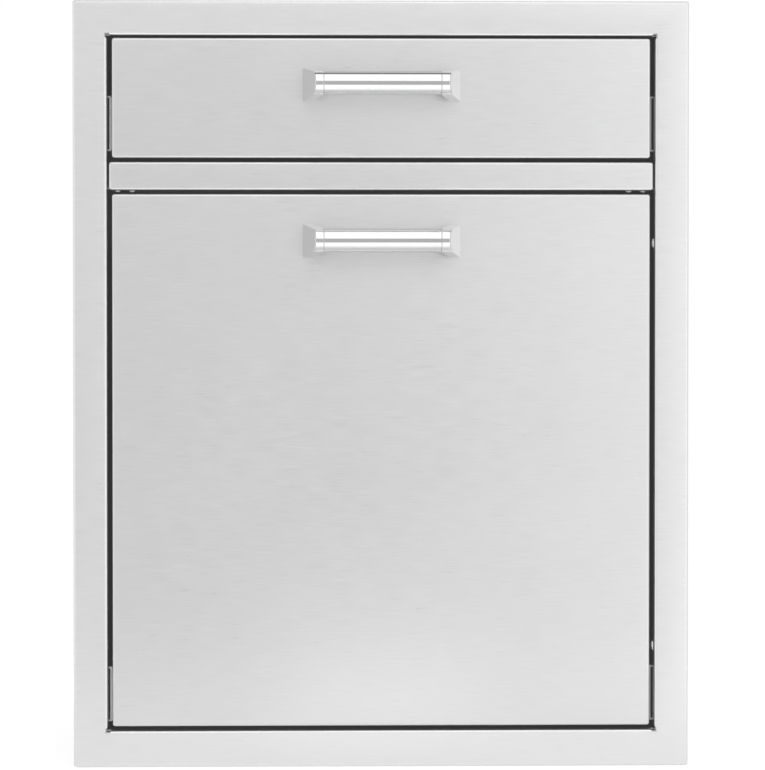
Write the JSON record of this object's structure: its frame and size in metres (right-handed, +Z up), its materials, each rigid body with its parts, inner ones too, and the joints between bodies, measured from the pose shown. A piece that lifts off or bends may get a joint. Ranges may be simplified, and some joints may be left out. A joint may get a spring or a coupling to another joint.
{
  "type": "outdoor kitchen trash drawer cabinet",
  "caption": "Built-in stainless cabinet for an outdoor kitchen island: a shallow utility drawer above a tall roll-out trash drawer with a lift-out bin.",
  "frame": {"origin": "middle of the enclosure's width, on the plane of the island's face (the back edge of the face frame's fold), on the enclosure's underside that rests on the sill of the cut-out", "axes": "+Z up, -Y out of the front towards the user, +X to the right seen from the front"},
  "size_m": [0.508, 0.5855, 0.632],
  "materials": {
    "brushed_stainless": "fine horizontal brushed grain",
    "sheet_stainless": "plain mill sheet, unpolished",
    "polished_stainless": "mirror polished",
    "slide_steel": "bright zinc plated, rolled",
    "cage_steel": "zinc plated, greased",
    "ball_steel": "ground and polished",
    "screw_steel": "stainless, machined",
    "stop_rubber": "matt moulded",
    "lever_plastic": "moulded, fine spark texture",
    "bin_plastic": "moulded, fine grain"
  },
  "bodies": {
    "cabinet": {"face_frame": "brushed_stainless", "side_panel_left": "sheet_stainless", "side_panel_right": "sheet_stainless", "back_panel": "sheet_stainless", "bottom_pan": "sheet_stainless", "top_panel": "sheet_stainless", "divider_rail": "brushed_stainless", "divider_brackets": "sheet_stainless", "divider_screws": "screw_steel", "slide_brackets": "sheet_stainless", "upper_slide_outer_left": "slide_steel", "upper_slide_outer_right": "slide_steel", "trash_slide_outer_left": "slide_steel", "trash_slide_outer_right": "slide_steel", "slide_outer_screws": "screw_steel", "slide_stops": "stop_rubber"},
    "upper_drawer": {"upper_front_skin": "brushed_stainless", "upper_front_liner": "sheet_stainless", "upper_drawer_box": "sheet_stainless", "upper_drawer_back": "sheet_stainless", "upper_front_screws": "screw_steel", "upper_handle_bar": "polished_stainless", "upper_handle_post_left": "polished_stainless", "upper_handle_post_right": "polished_stainless", "upper_handle_screws": "screw_steel", "upper_slide_inner_left": "slide_steel", "upper_slide_inner_right": "slide_steel", "upper_slide_inner_screws": "screw_steel"},
    "upper_slide_middles": {"upper_slide_middle_left": "slide_steel", "upper_slide_middle_right": "slide_steel"},
    "upper_outer_ball_cages": {"upper_outer_cages": "cage_steel", "upper_outer_balls": "ball_steel"},
    "upper_inner_ball_cages": {"upper_inner_cages": "cage_steel", "upper_inner_balls": "ball_steel"},
    "upper_lever_left": {"upper_release_lever_left": "lever_plastic"},
    "upper_lever_right": {"upper_release_lever_right": "lever_plastic"},
    "trash_drawer": {"trash_front_skin": "brushed_stainless", "trash_front_liner": "sheet_stainless", "trash_tray": "sheet_stainless", "trash_tray_back": "sheet_stainless", "trash_gusset_left": "sheet_stainless", "trash_gusset_right": "sheet_stainless", "bin_rails": "sheet_stainless", "trash_front_screws": "screw_steel", "trash_handle_bar": "polished_stainless", "trash_handle_post_left": "polished_stainless", "trash_handle_post_right": "polished_stainless", "trash_handle_screws": "screw_steel", "trash_slide_inner_left": "slide_steel", "trash_slide_inner_right": "slide_steel", "trash_slide_inner_screws": "screw_steel"},
    "trash_slide_middles": {"trash_slide_middle_left": "slide_steel", "trash_slide_middle_right": "slide_steel"},
    "trash_outer_ball_cages": {"trash_outer_cages": "cage_steel", "trash_outer_balls": "ball_steel"},
    "trash_inner_ball_cages": {"trash_inner_cages": "cage_steel", "trash_inner_balls": "ball_steel"},
    "trash_lever_left": {"trash_release_lever_left": "lever_plastic"},
    "trash_lever_right": {"trash_release_lever_right": "lever_plastic"},
    "bin": {"trash_bin": "bin_plastic"}
  },
  "joints": [
    {"name": "upper_drawer_slide", "type": "slide", "parent": "cabinet", "child": "upper_drawer", "axis": [0, -1, 0], "range_m": [0, 0.44]},
    {"name": "upper_middle_slide", "type": "slide", "parent": "cabinet", "child": "upper_slide_middles", "axis": [0, -1, 0], "range_m": [0, 0.22]},
    {"name": "upper_outer_cage_slide", "type": "slide", "parent": "cabinet", "child": "upper_outer_ball_cages", "axis": [0, -1, 0], "range_m": [0, 0.11]},
    {"name": "upper_inner_cage_slide", "type": "slide", "parent": "cabinet", "child": "upper_inner_ball_cages", "axis": [0, -1, 0], "range_m": [0, 0.33]},
    {"name": "trash_drawer_slide", "type": "slide", "parent": "cabinet", "child": "trash_drawer", "axis": [0, -1, 0], "range_m": [0, 0.48]},
    {"name": "trash_middle_slide", "type": "slide", "parent": "cabinet", "child": "trash_slide_middles", "axis": [0, -1, 0], "range_m": [0, 0.24]},
    {"name": "trash_outer_cage_slide", "type": "slide", "parent": "cabinet", "child": "trash_outer_ball_cages", "axis": [0, -1, 0], "range_m": [0, 0.12]},
    {"name": "trash_inner_cage_slide", "type": "slide", "parent": "cabinet", "child": "trash_inner_ball_cages", "axis": [0, -1, 0], "range_m": [0, 0.36]},
    {"name": "bin_lift", "type": "slide", "parent": "trash_drawer", "child": "bin", "axis": [0, 0, 1], "range_m": [0, 0.06]},
    {"name": "upper_lever_left_turn", "type": "hinge", "parent": "upper_drawer", "child": "upper_lever_left", "pos_m": [-0.2142, 0.35, 0.50385], "axis": [1, 0, 0], "range_deg": [-7, 7], "stiffness_Nm_per_rad": 0.02},
    {"name": "upper_lever_right_turn", "type": "hinge", "parent": "upper_drawer", "child": "upper_lever_right", "pos_m": [0.2142, 0.35, 0.50385], "axis": [1, 0, 0], "range_deg": [-7, 7], "stiffness_Nm_per_rad": 0.02},
    {"name": "trash_lever_left_turn", "type": "hinge", "parent": "trash_drawer", "child": "trash_lever_left", "pos_m": [-0.2142, 0.35, 0.03095], "axis": [1, 0, 0], "range_deg": [-7, 7], "stiffness_Nm_per_rad": 0.02},
    {"name": "trash_lever_right_turn", "type": "hinge", "parent": "trash_drawer", "child": "trash_lever_right", "pos_m": [0.2142, 0.35, 0.03095], "axis": [1, 0, 0], "range_deg": [-7, 7], "stiffness_Nm_per_rad": 0.02}
  ],
  "couplings": [
    {"joint": "upper_middle_slide", "follows": "upper_drawer_slide", "ratio": 0.5},
    {"joint": "upper_outer_cage_slide", "follows": "upper_drawer_slide", "ratio": 0.25},
    {"joint": "upper_inner_cage_slide", "follows": "upper_drawer_slide", "ratio": 0.75},
    {"joint": "trash_middle_slide", "follows": "trash_drawer_slide", "ratio": 0.5},
    {"joint": "trash_outer_cage_slide", "follows": "trash_drawer_slide", "ratio": 0.25},
    {"joint": "trash_inner_cage_slide", "follows": "trash_drawer_slide", "ratio": 0.75}
  ]
}
